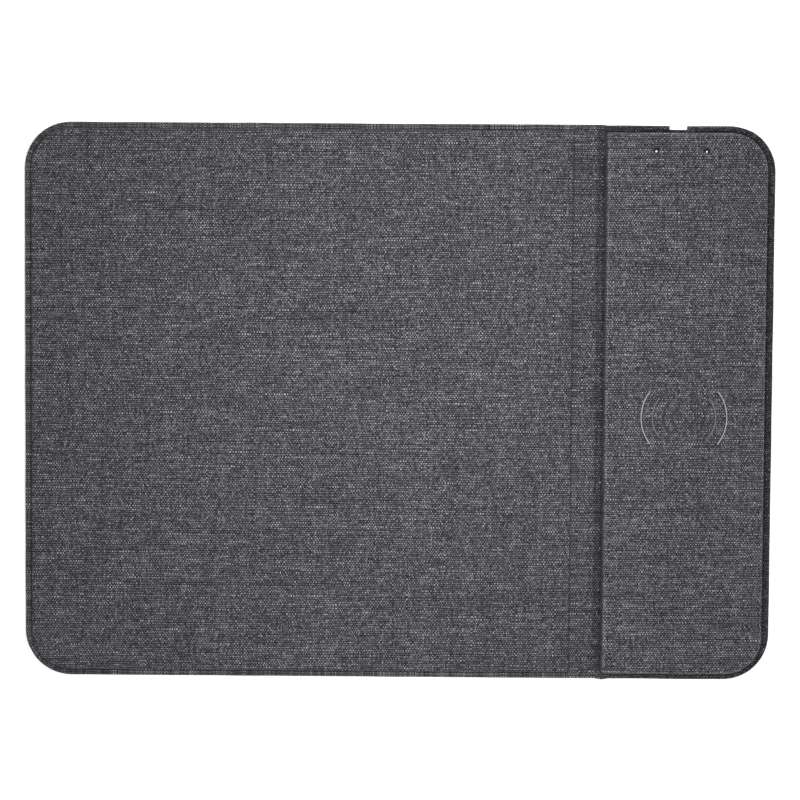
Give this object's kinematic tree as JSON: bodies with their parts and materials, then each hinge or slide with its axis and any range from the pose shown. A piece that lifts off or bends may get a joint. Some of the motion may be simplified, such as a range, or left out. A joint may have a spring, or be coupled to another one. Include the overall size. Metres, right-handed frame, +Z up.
{
  "type": "desk mat with wireless charging panel",
  "caption": "Flat padded desk mat with a raised wireless charging panel at one end, joined by a thin web that folds the panel over onto the mat.",
  "frame": {"origin": "centre of the underside, on the surface the mat lies on", "axes": "+X along the length towards the charging panel, +Y towards the edge with the USB inlet, +Z up out of the working face"},
  "size_m": [0.285, 0.2114, 0.0068],
  "materials": {
    "woven_cover": "heathered plain weave, matt",
    "base_sheet": "fine matt grain, non-slip",
    "foam": "thin padding, matt",
    "stiffener": "plain board",
    "case_plastic": "moulded, fine texture",
    "screw_steel": "zinc plated",
    "tape": "double-sided tape",
    "ferrite": "dull sintered",
    "film": "clear amber film",
    "coil_copper": "enamelled copper strands",
    "solder": "bright solder",
    "board_laminate": "solder mask",
    "chip_black": "moulded epoxy",
    "capacitor_tan": "fired ceramic",
    "led_body": "milky lens",
    "light_pipe": "clear, polished",
    "socket_steel": "nickel plated",
    "socket_insulator": "moulded",
    "contact_gold": "gold plated"
  },
  "bodies": {
    "mat": {"mat_top_cover": "woven_cover", "mat_foam_layer": "foam", "mat_stiffener_board": "stiffener", "mat_base_cover": "base_sheet"},
    "spine": {"spine_top_cover": "woven_cover", "spine_base_cover": "base_sheet"},
    "charger": {"charger_top_cover": "woven_cover", "charger_foam_layer": "foam", "charger_base_cover": "base_sheet", "housing_lid": "case_plastic", "housing_tray": "case_plastic", "housing_screws": "screw_steel", "coil_tape": "tape", "ferrite_shield": "ferrite", "coil_insulating_film": "film", "coil_winding": "coil_copper", "coil_lead_inner": "coil_copper", "coil_lead_outer": "coil_copper", "solder_joints": "solder", "circuit_board": "board_laminate", "controller_chip": "chip_black", "power_transistors": "chip_black", "resonant_capacitors": "capacitor_tan", "input_capacitors": "capacitor_tan", "sense_resistor": "chip_black", "small_resistors": "chip_black", "power_led": "led_body", "charge_led": "led_body", "power_light_pipe": "light_pipe", "charge_light_pipe": "light_pipe", "usb_socket_shell": "socket_steel", "usb_socket_tongue": "socket_insulator", "usb_contacts": "contact_gold"}
  },
  "joints": [
    {"name": "mat_fold", "type": "hinge", "parent": "mat", "child": "spine", "pos_m": [0.0685, 0, 0.0016], "axis": [0, -1, 0], "range_deg": [0, 90]},
    {"name": "panel_fold", "type": "hinge", "parent": "spine", "child": "charger", "pos_m": [0.0757, 0, 0.0016], "axis": [0, -1, 0], "range_deg": [0, 90]}
  ]
}
